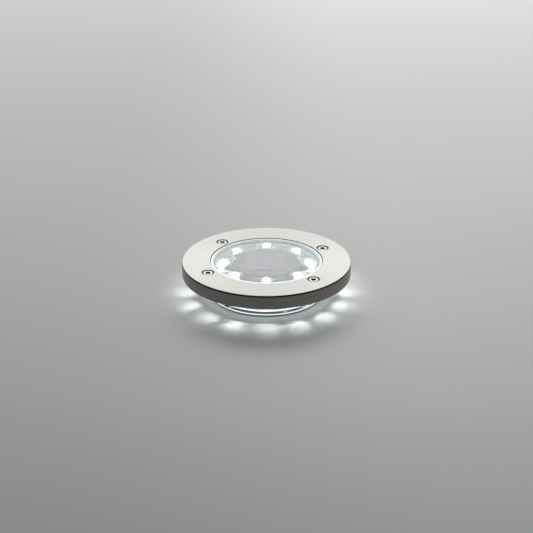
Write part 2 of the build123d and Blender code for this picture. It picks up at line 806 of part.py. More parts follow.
# ---------------------------------------------------------------- battery and its contacts
battery_end = cradle_half_cavity - contact_thickness
with BuildPart() as battery_cell:
    with BuildSketch(Plane(origin=(battery_end, cap_y, battery_z), x_dir=(0, 1, 0), z_dir=(-1, 0, 0))):
        Circle(battery_nub_diameter / 2)
    extrude(amount=battery_nub_length)
    with BuildSketch(
        Plane(
            origin=(battery_end - battery_nub_length, cap_y, battery_z),
            x_dir=(0, 1, 0),
            z_dir=(-1, 0, 0),
        )
    ):
        Circle(battery_diameter / 2)
    extrude(amount=battery_length)
save(battery_cell.part, "battery_cell")

for side, contact_name in ((1, "contact_plus"), (-1, "contact_minus")):
    with BuildPart() as contact:
        with BuildSketch(
            Plane(origin=(side * battery_end, cap_y, 0), x_dir=(0, side, 0), z_dir=(side, 0, 0))
        ):
            plate_bottom = cradle_bottom + contact_inset
            with Locations((0, (plate_bottom + cradle_cavity_top) / 2)):
                Rectangle(contact_width, cradle_cavity_top - plate_bottom)
            with Locations((0, (plate_bottom + board_bottom) / 2)):
                Rectangle(contact_tail_width, board_bottom - plate_bottom)
        extrude(amount=contact_thickness)
    save(contact.part, contact_name)

with BuildPart() as battery_spring:
    with BuildLine() as coil:
        Helix(
            pitch=(spring_length - spring_wire) / spring_turns,
            height=spring_length - spring_wire,
            radius=(spring_diameter - spring_wire) / 2,
            center=(spring_wire / 2 - battery_end, cap_y, battery_z),
            direction=(1, 0, 0),
        )
    with BuildSketch(Plane(origin=coil.line @ 0, z_dir=coil.line % 0)):
        Circle(spring_wire / 2)
    sweep(is_frenet=True)
save(battery_spring.part, "battery_spring")

# ---------------------------------------------------------------- bayonet cap
cap_axis = Axis((0, cap_y, 0), (0, 0, 1))
with BuildPart() as battery_cap:
    with BuildSketch(Plane.XZ.offset(-cap_y)):
        with BuildLine():
            Polyline(
                (0, cap_ground_gap),
                (cap_flange_radius - cap_edge_chamfer, cap_ground_gap),
                (cap_flange_radius, cap_ground_gap + cap_edge_chamfer),
                (cap_flange_radius, cap_flange_top),
                (cap_spigot_radius, cap_flange_top),
                (cap_spigot_radius, cap_lug_top),
                (cap_ring_inner, cap_lug_top),
                (cap_ring_inner, cap_floor_top),
                (0, cap_floor_top),
                close=True,
            )
        make_face()
    revolve(axis=cap_axis)
    with BuildSketch(level_at(0, cap_y, cap_lug_bottom)):
        for angle in cap_lug_angles:
            ring_sector(cap_ring_inner, cap_lug_radius, angle, cap_lug_angle)
    extrude(amount=cap_lug_height)
    with BuildSketch(level_at(0, cap_y, cap_ground_gap)):
        Rectangle(cap_slot_length, cap_slot_width)
    extrude(amount=cap_slot_depth, mode=Mode.SUBTRACT)
save(battery_cap.part, "battery_cap")

with BuildPart() as cap_seal:
    with BuildSketch(Plane.XZ.offset(-cap_y)):
        seal_outer = cap_flange_radius - cap_seal_inset
        ring_section(
            seal_outer - cap_seal_width,
            seal_outer,
            cap_flange_top,
            cap_recess_top - cap_seal_gap,
        )
    revolve(axis=cap_axis)
save(cap_seal.part, "cap_seal")

with BuildPart() as cap_pad:
    with BuildSketch(level_at(0, cap_y, cap_floor_top)):
        Circle(cap_ring_inner - cap_pad_clearance)
    extrude(amount=battery_z - battery_diameter / 2 - cap_pad_gap - cap_floor_top)
save(cap_pad.part, "cap_pad")

# ---------------------------------------------------------------- push button
button_axis = Axis((0, button_y, 0), (0, 0, 1))
with BuildPart() as power_button:
    with BuildSketch(Plane.XZ.offset(-button_y)):
        with BuildLine():
            Polyline(
                (0, button_ground_gap + button_dish_depth),
                (button_dish_diameter / 2, button_ground_gap),
                (button_radius, button_ground_gap),
                (button_radius, button_collar_bottom),
                (button_collar_radius, button_collar_bottom),
                (button_collar_radius, button_collar_top),
                (0, button_collar_top),
                close=True,
            )
        make_face()
    revolve(axis=button_axis)
save(power_button.part, "power_button")

with BuildPart() as button_seal:
    with BuildSketch(Plane.XZ.offset(-button_y)):
        ring_section(
            button_hole_radius,
            button_groove_radius - seat_clearance,
            button_seal_bottom,
            button_seal_bottom + button_seal_height,
        )
    revolve(axis=button_axis)
save(button_seal.part, "button_seal")

# ---------------------------------------------------------------- switch and its plunger
with BuildPart() as switch_body:
    with BuildSketch(level_at(0, button_y, switch_bottom)):
        Rectangle(switch_width, switch_depth)
    extrude(amount=switch_height)
    with BuildSketch(level_at(0, button_y, switch_bottom)):
        Circle(plunger_diameter / 2 + running_clearance)
    extrude(amount=plunger_in_switch + button_travel + plunger_over_travel, mode=Mode.SUBTRACT)
save(switch_body.part, "switch_body")

with BuildPart() as switch_plunger:
    with BuildSketch(level_at(0, button_y, button_collar_top)):
        Circle(plunger_diameter / 2)
    extrude(amount=plunger_top - button_collar_top)
save(switch_plunger.part, "switch_plunger")
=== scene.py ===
import math

import bmesh
import bpy
from mathutils import Matrix, Vector


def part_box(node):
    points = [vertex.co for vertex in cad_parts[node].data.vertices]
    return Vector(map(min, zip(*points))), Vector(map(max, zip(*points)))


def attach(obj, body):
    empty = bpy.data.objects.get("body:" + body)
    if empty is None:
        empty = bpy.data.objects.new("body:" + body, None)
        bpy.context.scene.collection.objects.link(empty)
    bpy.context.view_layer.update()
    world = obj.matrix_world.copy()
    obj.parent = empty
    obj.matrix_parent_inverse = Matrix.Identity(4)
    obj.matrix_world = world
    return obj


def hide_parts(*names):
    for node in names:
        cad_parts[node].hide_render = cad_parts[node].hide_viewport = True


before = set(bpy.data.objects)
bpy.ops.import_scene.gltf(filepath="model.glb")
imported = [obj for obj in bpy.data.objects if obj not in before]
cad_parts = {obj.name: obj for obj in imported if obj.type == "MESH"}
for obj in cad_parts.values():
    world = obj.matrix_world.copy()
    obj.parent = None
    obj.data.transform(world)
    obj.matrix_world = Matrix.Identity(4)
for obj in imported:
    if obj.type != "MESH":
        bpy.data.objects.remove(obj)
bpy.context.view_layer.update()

# In ground well light: brushed ring, clear lens over a solar disc and cut optics, clear cup below.
# Metres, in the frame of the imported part: +Z up, -Y towards the camera.

mm = 0.001

# ------------------------------------------------------------------ sizes read from the frame
ring_low, ring_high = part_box("bezel")
lens_low, lens_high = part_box("lens")
gasket_low, gasket_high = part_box("lens_gasket")
_, cup_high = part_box("clear_housing")
optics_low, optics_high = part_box("crystal_ring")
screw_low, screw_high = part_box("bezel_screws")
led_low, led_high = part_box("led_1")
_, drum_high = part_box("core_tub")
disc_low, disc_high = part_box("panel_disc")
cell_low, cell_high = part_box("solar_cell")

ring_radius, ring_top, ring_bottom = ring_high.x, ring_high.z, ring_low.z
lens_rim_radius, lens_top, lens_rim_bottom = lens_high.x, lens_high.z, lens_low.z
flange_radius, flange_top = cup_high.x, cup_high.z
optics_radius, optics_top, optics_bottom = optics_high.x, optics_high.z, optics_low.z
led_root, led_tip = led_low.x, led_high.x
led_axis = (led_low.z + led_high.z) / 2

# ------------------------------------------------------------------ sizes of the pieces made here
round_steps = 256               # flats in a full turn of a large piece
small_steps = 64                # of a screw, a bore or a diode
touch = 0.01 * mm               # faces and edges this near count as lying there
overshoot = 0.5 * mm            # how far a cutting tool stands past the piece
soft_round = 0.3 * mm           # rounding of most moulded and pressed edges
fine_round = 0.2 * mm

skirt_wall = 3.0 * mm
lip_width = 3.2 * mm
lip_thickness = 2.7 * mm
lens_play = 0.2 * mm
ring_edge_round = 0.5 * mm
ring_shade_line = (1.5 * mm, 1.0 * mm)    # painted shade line round the top of the side wall: its foot, its full depth

screw_circle = 46.1 * mm
screw_angle = 36.6              # degrees from the long side to the diagonal of the four screws
screw_turn = -8.7               # degrees that the four are turned together
screw_head_radius = 4.15 * mm
screw_bright_radius = 3.2 * mm  # polished face inside the painted shade on the edge of the head
screw_edge_drop = 0.08 * mm
screw_tip_bevel = 0.5 * mm
screw_shank_radius = 2.0 * mm
screw_sink_radius = 4.5 * mm
screw_hole_radius = 2.2 * mm
socket_steps = 72
socket_lobes = 6
socket_core = 1.95 * mm         # mean radius of the socket
socket_wave = 0.28 * mm         # rise and fall of its lobes
socket_depth = 1.6 * mm

lens_thickness = 2.5 * mm
lens_rim_inner = 37.0 * mm
lens_chamfer = 0.8 * mm
lens_border = 1.6 * mm          # border on the lens's face, painted pale with a painted glow
lens_step_reach = 0.5 * mm      # how far the shaded step spreads from its own radius

gasket_width = 4.0 * mm
gasket_press = 0.03 * mm        # how far it is pressed into the lens

cup_radius = 40.0 * mm
cup_wall = 2.5 * mm
cup_base = 2.5 * mm
cup_height = 16.0 * mm
cup_edge_round = 1.5 * mm
cup_floor_round = 1.0 * mm
flange_corner_round = 0.4 * mm
flange_reach = 0.5 * mm         # how far from the flange's underside its painted glow goes
lit_edge = (1.2 * mm, 2.1 * mm)     # band round the foot of the wall, painted pale and glowing: painted highlight
dark_edge = (0.05 * mm, 1.15 * mm)  # shaded line under it
drum_hole_radius = 26.0 * mm
drum_play = 0.1 * mm
drum_seat_depth = 0.04 * mm     # recess in the base that the drum's foot stands over

led_radius = 2.5 * mm
led_collar_radius = 2.9 * mm
led_collar_length = 1.0 * mm
led_count = 8

optics_plate = 1.2 * mm
optics_crown = 2.5 * mm
optics_crown_inset = 1.75 * mm
optics_start = 25.7 * mm
optics_nose = 11.0 * mm
optics_waist = 16.0 * mm
optics_tail = 9.0 * mm
optics_front_cut = 4.0 * mm
optics_back_cut = 4.3 * mm
optics_plate_inner = 24.6 * mm
optics_edge = 0.35 * mm         # polished bevel along each cut
well_steps = 32
well_reach = 30.4 * mm          # axis of the lit well in each cut optic
well_top_radius = 3.25 * mm
well_shoulder = 1.6 * mm        # straight part of the well, under its top
well_foot_radius = 0.7 * mm
well_foot_rise = 0.1 * mm       # from the plate up to the well's foot
well_edge_round = 0.4 * mm
well_cover = 0.5 * mm           # clear material over the well

core_screw_count = 4
core_screw_circle = 30.2 * mm
core_screw_start = 22.5         # degrees
core_bore_radius = 2.6 * mm
core_bore_depth = 1.4 * mm
core_hole_radius = 1.45 * mm

cell_corner = 1.5 * mm
cell_edge = 0.15 * mm
cell_line_pitch = 2.0 * mm      # from one conductor line to the next

beam_count = 16
floor_level = -0.1 * mm
floor_half = 4.0                # metres

pocket_radius = lens_rim_radius + lens_play
window_radius = pocket_radius - lip_width
lens_radius = window_radius - lens_play
lip_bottom = ring_top - lip_thickness
lens_bottom = lens_top - lens_thickness
skirt_inner = ring_radius - skirt_wall
led_angles = [index * 2 * math.pi / led_count for index in range(led_count)]
screw_angles = [
    math.radians(turn + screw_turn)
    for turn in (screw_angle, 180 - screw_angle, 180 + screw_angle, -screw_angle)
]


# ------------------------------------------------------------------ mesh helpers
def spun(profile, steps=round_steps, centre=(0.0, 0.0)):
    """A profile of (radius, height) points turned about the upright axis through centre."""
    shape = bmesh.new()
    corners = [shape.verts.new((centre[0] + radius, centre[1], z)) for radius, z in profile]
    for start, end in zip(corners, corners[1:] + corners[:1]):
        if start.co.x > centre[0] or end.co.x > centre[0]:
            shape.edges.new((start, end))
    bmesh.ops.spin(
        shape, geom=shape.verts[:] + shape.edges[:], cent=(centre[0], centre[1], 0),
        axis=(0, 0, 1), angle=2 * math.pi, steps=steps, use_merge=True,
    )
    bmesh.ops.remove_doubles(shape, verts=shape.verts, dist=0.0001 * mm)
    bmesh.ops.recalc_face_normals(shape, faces=shape.faces)
    return shape


def round_ring(shape, radius, height, width, segments=3, centre=(0.0, 0.0)):
    """Round the circular edge at one radius and height."""
    edges = [
        edge for edge in shape.edges
        if all(
            abs(corner.co.z - height) < touch
            and abs(math.hypot(corner.co.x - centre[0], corner.co.y - centre[1]) - radius) < touch
            for corner in edge.verts
        )
    ]
    bmesh.ops.bevel(
        shape, geom=edges, offset=width, affect="EDGES", segments=segments,
        profile=0.5, material=-1, clamp_overlap=True,
    )


def soften(shape, width, angle=30, segments=2):
    """Bevel every edge that is sharper than the angle."""
    sharp = [
        edge for edge in shape.edges
        if edge.is_manifold and edge.calc_face_angle() > math.radians(angle)
    ]
    bmesh.ops.bevel(
        shape, geom=sharp, offset=width, affect="EDGES", segments=segments,
        profile=0.5, material=-1, clamp_overlap=True,
    )


def turned(shape, angle):
    """The shape turned about the light's upright axis."""
    bmesh.ops.transform(shape, matrix=Matrix.Rotation(angle, 4, "Z"), verts=shape.verts)
    return shape


def around(radius, angle):
    """The plan point (x, y) at a radius and angle."""
    return radius * math.cos(angle), radius * math.sin(angle)


def joined(shapes):
    """Several shapes in one mesh."""
    whole = bmesh.new()
    for shape in shapes:
        mesh = bpy.data.meshes.new("joined")
        shape.to_mesh(mesh)
        shape.free()
        whole.from_mesh(mesh)
        bpy.data.meshes.remove(mesh)
    return whole


def carved(shape, tool):
    """The shape with the tool cut out of it."""
    holders = []
    for part in (shape, tool):
        mesh = bpy.data.meshes.new("carving")
        part.to_mesh(mesh)
        part.free()
        holders.append(bpy.data.objects.new("carving", mesh))
        bpy.context.scene.collection.objects.link(holders[-1])
    cut = holders[0].modifiers.new("cut", "BOOLEAN")
    cut.operation = "DIFFERENCE"
    cut.solver = "EXACT"
    cut.object = holders[1]
    bpy.context.view_layer.update()
    result = bmesh.new()
    result.from_object(holders[0], bpy.context.evaluated_depsgraph_get())
    for holder in holders:
        mesh = holder.data
        bpy.data.objects.remove(holder)
        bpy.data.meshes.remove(mesh)
    return result


def prism(outline, bottom, top):
    """An upright prism over a plan outline of (x, y) points."""
    shape = bmesh.new()
    floor_face = shape.faces.new([shape.verts.new((x, y, bottom)) for x, y in outline])
    grown = bmesh.ops.extrude_face_region(shape, geom=[floor_face])
    roof = [item for item in grown["geom"] if isinstance(item, bmesh.types.BMVert)]
    bmesh.ops.translate(shape, vec=(0, 0, top - bottom), verts=roof)
    bmesh.ops.recalc_face_normals(shape, faces=shape.faces)
    return shape


def piece(name, shape, materials, body, nodes, smooth=30):
    """Dress a finished shape, hang it on its body and let it stand for its nodes."""
    mesh = bpy.data.meshes.new(name)
    shape.to_mesh(mesh)
    shape.free()
    mesh.shade_smooth()
    mesh.set_sharp_from_angle(angle=math.radians(smooth))
    for material in materials:
        mesh.materials.append(material)
    made = bpy.data.objects.new(name, mesh)
    bpy.context.scene.collection.objects.link(made)
    even = made.modifiers.new("even_shading", "WEIGHTED_NORMAL")
    even.keep_sharp = True
    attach(made, body)
    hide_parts(*nodes)
    return made


# ------------------------------------------------------------------ material helpers
class Finish:
    """A material being made: one Principled shader and the patterns that feed it."""

    def __init__(self, name, **plain):
        self.material = bpy.data.materials.new(name)
        self.material.use_nodes = True
        self.tree = self.material.node_tree
        self.shader = self.tree.nodes["Principled BSDF"]
        self.output = self.tree.nodes["Material Output"]
        for socket, value in plain.items():
            self.shader.inputs[socket.replace("_", " ")].default_value = value
        self.point = self.node("ShaderNodeTexCoord").outputs["Object"]

    def node(self, kind, inputs=None, **settings):
        made = self.tree.nodes.new(kind)
        for name, value in settings.items():
            setattr(made, name, value)
        for socket, value in (inputs or {}).items():
            if isinstance(value, bpy.types.NodeSocket):
                self.tree.links.new(value, made.inputs[socket])
            else:
                made.inputs[socket].default_value = value
        return made

    def feed(self, socket, source):
        self.tree.links.new(source, self.shader.inputs[socket])

    def maths(self, operation, first, second=0.0):
        return self.node("ShaderNodeMath", {0: first, 1: second}, operation=operation).outputs[0]

    def axes(self, vector=None):
        split = self.node("ShaderNodeSeparateXYZ", {0: vector or self.point})
        return split.outputs["X"], split.outputs["Y"], split.outputs["Z"]

    def vector(self, x, y, z):
        return self.node("ShaderNodeCombineXYZ", {0: x, 1: y, 2: z}).outputs[0]

    def noise(self, scale, detail=2.0, vector=None, roughness=0.5):
        inputs = {"Vector": vector or self.point, "Scale": scale, "Detail": detail,
                  "Roughness": roughness}
        return self.node("ShaderNodeTexNoise", inputs).outputs["Fac"]

    def stretched_noise(self, x, y, z, detail=2.0):
        """Noise with its own fineness along each axis."""
        place = self.node("ShaderNodeMapping", {"Vector": self.point, "Scale": (x, y, z)})
        return self.noise(1.0, detail, place.outputs[0])

    def span(self, value, low, high, new_low=0.0, new_high=1.0, smooth=True):
        inputs = {0: value, 1: low, 2: high, 3: new_low, 4: new_high}
        kind = "SMOOTHSTEP" if smooth else "LINEAR"
        return self.node("ShaderNodeMapRange", inputs, interpolation_type=kind).outputs[0]

    def blend(self, factor, first, second):
        inputs = {"Factor": factor, 6: first, 7: second}
        return self.node("ShaderNodeMix", inputs, data_type="RGBA").outputs[2]

    def bump(self, height, strength, distance):
        inputs = {"Strength": strength, "Distance": distance, "Height": height}
        self.feed("Normal", self.node("ShaderNodeBump", inputs).outputs[0])

    def glow(self, colour, strength):
        self.shader.inputs["Emission Color"].default_value = (*colour, 1)
        self.shader.inputs["Emission Strength"].default_value = strength

    def lets_lamps_through(self, tint):
        """Lamp rays pass with a plain tint instead of stopping at the clear material."""
        lamp_side = self.node("ShaderNodeBsdfTransparent", {"Color": tint})
        is_lamp = self.node("ShaderNodeLightPath").outputs["Is Shadow Ray"]
        inputs = {0: is_lamp, 1: self.shader.outputs[0], 2: lamp_side.outputs[0]}
        mixed = self.node("ShaderNodeMixShader", inputs)
        self.tree.links.new(mixed.outputs[0], self.output.inputs["Surface"])


def polar_streaks(finish, along, across, detail=3.0):
    """Streaks that run round the upright axis: long around it, fine across it."""
    x, y, z = finish.axes()
    radius = finish.maths("SQRT", finish.maths("ADD", finish.maths("MULTIPLY", x, x),
                                               finish.maths("MULTIPLY", y, y)))
    unit_x = finish.maths("MULTIPLY", finish.maths("DIVIDE", x, radius), along)
    unit_y = finish.maths("MULTIPLY", finish.maths("DIVIDE", y, radius), along)
    across_both = finish.maths("MULTIPLY", finish.maths("ADD", radius, z), across)
    place = finish.vector(unit_x, unit_y, across_both)
    return finish.noise(1.0, detail, place), radius, z


# ------------------------------------------------------------------ finishes
def make_stainless():
    finish = Finish("stainless_brushed", Metallic=1.0, Anisotropic=0.5)
    fine, radius, z = polar_streaks(finish, 5.0, 3200.0)
    broad, _, _ = polar_streaks(finish, 3.0, 700.0, 2.0)
    both = finish.maths("ADD", finish.maths("MULTIPLY", fine, 0.6),
                        finish.maths("MULTIPLY", broad, 0.4))
    face = finish.blend(finish.span(both, 0.3, 0.7), (0.75, 0.735, 0.69, 1), (0.83, 0.815, 0.77, 1))
    # painted shade: the side wall is coloured far darker than the top face
    wall = finish.blend(finish.span(both, 0.3, 0.7), (0.19, 0.185, 0.175, 1), (0.25, 0.243, 0.23, 1))
    on_wall = finish.span(radius, ring_radius - 0.45 * mm, ring_radius - 0.1 * mm)
    colour = finish.blend(on_wall, face, wall)
    # painted shade line round the top of the side wall
    shade_line_band = finish.span(z, ring_top - ring_shade_line[0], ring_top - ring_shade_line[1])
    line = finish.maths("MULTIPLY", shade_line_band, on_wall)
    finish.feed("Base Color", finish.blend(line, colour, (0.02, 0.019, 0.018, 1)))
    finish.feed("Roughness", finish.span(both, 0.2, 0.8, 0.30, 0.42))
    x, y, _ = finish.axes()
    on_top = finish.maths("SUBTRACT", 1.0, on_wall)
    across_lines = finish.vector(
        finish.maths("MULTIPLY", x, on_top), finish.maths("MULTIPLY", y, on_top),
        finish.maths("MULTIPLY", on_wall, ring_radius),
    )
    finish.feed("Tangent", across_lines)
    finish.bump(fine, 0.12, 0.02 * mm)
    return finish.material


def make_sink_painted_shade():
    # painted shade: dark steel for the countersinks and the window's inner wall
    finish = Finish("sink_shade", Metallic=1.0, Roughness=0.45)
    shade_mottle = finish.noise(900.0, 3.0)
    finish.feed("Base Color", finish.blend(shade_mottle, (0.05, 0.047, 0.043, 1), (0.12, 0.115, 0.105, 1)))
    return finish.material


def make_screw_steel():
    finish = Finish("screw_polished", Metallic=1.0)
    turned = finish.noise(1400.0, 2.0)
    finish.feed("Base Color", finish.blend(turned, (0.84, 0.83, 0.81, 1), (0.93, 0.92, 0.90, 1)))
    finish.feed("Roughness", finish.span(turned, 0.2, 0.8, 0.16, 0.26))
    finish.bump(turned, 0.05, 0.02 * mm)
    return finish.material


def make_socket_painted_shade():
    # painted shade: near black for the screw sockets and the heads' outer edges
    finish = Finish("socket_painted_shade", Metallic=0.2, Roughness=0.7)
    shade_mottle = finish.noise(1600.0, 2.0)
    finish.feed("Base Color", finish.blend(shade_mottle, (0.012, 0.011, 0.010, 1), (0.05, 0.047, 0.043, 1)))
    return finish.material


def make_clear(name, colour, ior, smear, ripple, tint, cuts=0.0):
    """Clear moulded material with faint smears and flow lines, or with small cut facets."""
    finish = Finish(name, Transmission_Weight=1.0, IOR=ior)
    cloud = finish.noise(120.0, 2.0)
    pale = [min(1.0, channel * 1.02) for channel in colour] + [1]
    finish.feed("Base Color", finish.blend(cloud, (*colour, 1), pale))
    finish.feed("Roughness", finish.span(cloud, 0.3, 0.8, 0.0, smear))
    if cuts:
        cells = finish.node("ShaderNodeTexVoronoi", {"Vector": finish.point, "Scale": cuts})
        finish.bump(cells.outputs["Distance"], ripple, 0.5 * mm)
    else:
        finish.bump(finish.noise(260.0, 1.0), ripple, 0.05 * mm)
    finish.lets_lamps_through((*tint, 1))
    return finish.material


def make_pale_painted_light():
    """Clear material painted pale, opaque and even: painted light of the diodes in it."""
    finish = Finish("clear_painted_pale", Roughness=0.4, IOR=1.49)
    cloud = finish.noise(200.0, 3.0)
    finish.feed("Base Color", finish.blend(cloud, (0.79, 0.82, 0.82, 1), (0.86, 0.89, 0.89, 1)))
    finish.bump(finish.noise(1500.0, 2.0), 0.1, 0.02 * mm)
    return finish.material


def make_lit(name, dark, pale, light, strength, roughness=0.4, grain=200.0, detail=2.0, ior=1.49):
    """Frosted clear material that glows with the light of the diodes: their own light on the diodes,
    painted light on faces that are no lamp.
    """
    finish = Finish(name, Roughness=roughness, IOR=ior)
    cloud = finish.noise(grain, detail)
    finish.feed("Base Color", finish.blend(cloud, (*dark, 1), (*pale, 1)))
    finish.glow(light, strength)
    return finish.material


def make_painted_glow_face(name, strength):
    """Face of a clear piece painted pale, with a painted glow standing for the light that its wall
    leads there.
    """
    return make_lit(name, (0.66, 0.70, 0.72), (0.74, 0.78, 0.80), edge_light, strength, detail=3.0)


def make_diode_body():
    finish = Finish("diode_body", Roughness=0.2, IOR=1.5)
    cloud = finish.noise(500.0, 2.0)
    finish.feed("Base Color", finish.blend(cloud, (0.62, 0.63, 0.60, 1), (0.72, 0.73, 0.70, 1)))
    return finish.material


def make_milky():
    finish = Finish("silicone_milky", Roughness=0.45, IOR=1.41, Subsurface_Weight=0.3)
    finish.shader.inputs["Subsurface Radius"].default_value = (1.0 * mm, 1.1 * mm, 1.2 * mm)
    cloud = finish.noise(300.0, 3.0)
    finish.feed("Base Color", finish.blend(cloud, (0.74, 0.79, 0.80, 1), (0.84, 0.88, 0.89, 1)))
    # painted glow: the gasket glows though it is no lamp
    finish.glow(edge_light, 0.3)
    finish.bump(cloud, 0.1, 0.05 * mm)
    return finish.material


def make_plastic(name, dark, pale, roughness, grain, depth):
    """Moulded opaque plastic or rubber with a fine grain."""
    finish = Finish(name, IOR=1.48)
    speck = finish.noise(grain, 3.0)
    drift = finish.noise(60.0, 2.0)
    both = finish.maths("ADD", finish.maths("MULTIPLY", speck, 0.5),
                        finish.maths("MULTIPLY", drift, 0.5))
    finish.feed("Base Color", finish.blend(finish.span(both, 0.3, 0.7), (*dark, 1), (*pale, 1)))
    finish.feed("Roughness", finish.span(both, 0.2, 0.8, roughness - 0.06, roughness + 0.06))
    finish.bump(speck, depth, 0.04 * mm)
    return finish.material


def make_metal(name, dark, pale, roughness, fineness):
    """Drawn or plated metal with lines along one axis."""
    finish = Finish(name, Metallic=1.0)
    lines = finish.stretched_noise(*fineness)
    finish.feed("Base Color", finish.blend(finish.span(lines, 0.3, 0.7), (*dark, 1), (*pale, 1)))
    finish.feed("Roughness", finish.span(lines, 0.2, 0.8, roughness - 0.05, roughness + 0.08))
    finish.bump(lines, 0.06, 0.02 * mm)
    return finish.material


def make_cell_wafer():
    """Solar cell: fine conductor lines along Y on a mottled wafer."""
    finish = Finish("cell_wafer", IOR=1.5, Roughness=0.35)
    mottle = finish.node("ShaderNodeTexVoronoi", {"Vector": finish.point, "Scale": 420.0})
    value = finish.axes(mottle.outputs["Color"])[0]
    wafer = finish.blend(value, (0.285, 0.277, 0.292, 1), (0.333, 0.324, 0.340, 1))
    x, _, _ = finish.axes()
    wave = finish.maths("SINE", finish.maths("MULTIPLY", x, 2 * math.pi / cell_line_pitch))
    line = finish.span(wave, 0.86, 0.96)
    finish.feed("Base Color", finish.blend(line, wafer, (0.43, 0.425, 0.445, 1)))
    finish.bump(line, 0.3, 0.02 * mm)
    return finish.material


def make_board():
    """Green solder mask over square copper runs."""
    finish = Finish("board_green", IOR=1.5, Roughness=0.35)
    pattern = finish.node(
        "ShaderNodeTexBrick",
        {"Vector": finish.point, "Scale": 260.0, "Mortar Size": 0.09,
         "Color1": (0.03, 0.16, 0.06, 1), "Color2": (0.035, 0.18, 0.07, 1),
         "Mortar": (0.07, 0.27, 0.12, 1)},
    )
    finish.feed("Base Color", pattern.outputs["Color"])
    finish.bump(pattern.outputs["Fac"], 0.2, 0.03 * mm)
    return finish.material


def make_battery():
    """Sleeved cell: green sleeve with bare bright ends."""
    finish = Finish("battery_sleeve", Roughness=0.3)
    low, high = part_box("battery_cell")
    x, _, _ = finish.axes()
    end_bare = 1.6 * mm
    sleeve_edge = 0.1 * mm
    left = finish.span(x, low.x + end_bare, low.x + end_bare + sleeve_edge, 1.0, 0.0)
    right = finish.span(x, high.x - end_bare - sleeve_edge, high.x - end_bare)
    bare = finish.maths("MAXIMUM", left, right)
    fleck = finish.noise(700.0, 2.0)
    sleeve = finish.blend(fleck, (0.045, 0.16, 0.07, 1), (0.06, 0.20, 0.09, 1))
    finish.feed("Base Color", finish.blend(bare, sleeve, (0.72, 0.71, 0.69, 1)))
    finish.feed("Metallic", bare)
    return finish.material


def make_foam():
    finish = Finish("foam_open", Roughness=0.95)
    cells = finish.node("ShaderNodeTexVoronoi", {"Vector": finish.point, "Scale": 1400.0})
    depth = cells.outputs["Distance"]
    finish.feed("Base Color", finish.blend(depth, (0.012, 0.012, 0.014, 1), (0.045, 0.045, 0.05, 1)))
    finish.bump(depth, 0.6, 0.3 * mm)
    return finish.material


diode_light = (1.0, 0.985, 0.93)
# colour of the painted glow on the clear pieces and the gasket
edge_light = (0.86, 0.96, 1.0)

stainless = make_stainless()
sink_painted_shade = make_sink_painted_shade()
screw_steel = make_screw_steel()
socket_painted_shade = make_socket_painted_shade()
lens_clear = make_clear("lens_clear", colour=(0.97, 0.99, 1.0), ior=1.49, smear=0.03, ripple=0.004,
                        tint=(0.97, 0.99, 1.0))
cup_clear = make_clear("cup_clear", colour=(0.95, 0.985, 1.0), ior=1.49, smear=0.04, ripple=0.03,
                       tint=(0.95, 0.98, 1.0))
optics_clear = make_clear("optics_clear", colour=(0.97, 0.99, 0.985), ior=1.49, smear=0.03, ripple=0.25,
                          tint=(0.97, 0.99, 0.99), cuts=520.0)
pale_painted_light = make_pale_painted_light()
lit_well = make_lit("lit_well", (0.90, 0.90, 0.84), (0.96, 0.96, 0.92), diode_light, 1.05, grain=500.0)
lit_flange = make_painted_glow_face("lit_flange", 0.3)
lit_base = make_painted_glow_face("lit_base", 0.6)
lit_foot = make_painted_glow_face("lit_foot", 0.6)
lit_wall = make_painted_glow_face("lit_wall", 0.6)
lit_border = make_lit("lens_border", (0.66, 0.76, 0.80), (0.76, 0.84, 0.87), (0.80, 0.93, 1.0), 0.12,
                      roughness=0.3, grain=90.0)
milky_painted_glow = make_milky()
led_glow = make_lit("led_glow", (0.95, 0.94, 0.86), (1.0, 1.0, 0.96), diode_light, 0.75,
                    roughness=0.25, grain=500.0, ior=1.5)
diode_body = make_diode_body()
step_shade = make_plastic("step_shade", (0.36, 0.42, 0.43), (0.46, 0.52, 0.53),
                          roughness=0.4, grain=900.0, depth=0.05)
edge_shade = make_plastic("edge_shade", (0.035, 0.045, 0.05), (0.06, 0.07, 0.08),
                          roughness=0.35, grain=900.0, depth=0.05)
drum_plastic = make_plastic("drum_grey", (0.50, 0.51, 0.52), (0.57, 0.58, 0.59),
                            roughness=0.45, grain=1500.0, depth=0.08)
panel_plastic = make_plastic("panel_grey", (0.305, 0.301, 0.301), (0.352, 0.347, 0.347),
                             roughness=0.5, grain=2000.0, depth=0.05)
# painted light: side faces coloured paler than the top so that they do not read as shaded
panel_edge_painted_light = make_plastic("panel_edge_painted_light", (0.40, 0.40, 0.41), (0.46, 0.46, 0.47),
                          roughness=0.5, grain=2000.0, depth=0.05)
cell_silver = make_plastic("cell_silver", (0.322, 0.318, 0.327), (0.376, 0.371, 0.381),
                           roughness=0.4, grain=2000.0, depth=0.05)
black_rubber = make_plastic("seal_black", (0.012, 0.012, 0.013), (0.03, 0.03, 0.032),
                            roughness=0.6, grain=900.0, depth=0.1)
cap_plastic = make_plastic("cap_black", (0.014, 0.014, 0.016), (0.03, 0.03, 0.033),
                           roughness=0.5, grain=2600.0, depth=0.2)
button_rubber = make_plastic("button_grey", (0.06, 0.063, 0.066), (0.10, 0.104, 0.108),
                             roughness=0.65, grain=1200.0, depth=0.1)
black_part = make_plastic("part_black", (0.01, 0.01, 0.011), (0.028, 0.028, 0.03),
                          roughness=0.45, grain=2200.0, depth=0.1)
silver = make_metal("tinned", (0.66, 0.66, 0.66), (0.82, 0.82, 0.82),
                    roughness=0.3, fineness=(300, 300, 2500))
brass = make_metal("brass_turned", (0.52, 0.36, 0.13), (0.66, 0.48, 0.20),
                   roughness=0.28, fineness=(60, 60, 4000))
nickel = make_metal("nickel_plated", (0.62, 0.61, 0.58), (0.78, 0.77, 0.74),
                    roughness=0.22, fineness=(200, 2600, 200))
cell_wafer = make_cell_wafer()
board_green = make_board()
battery_sleeve = make_battery()
foam_open = make_foam()


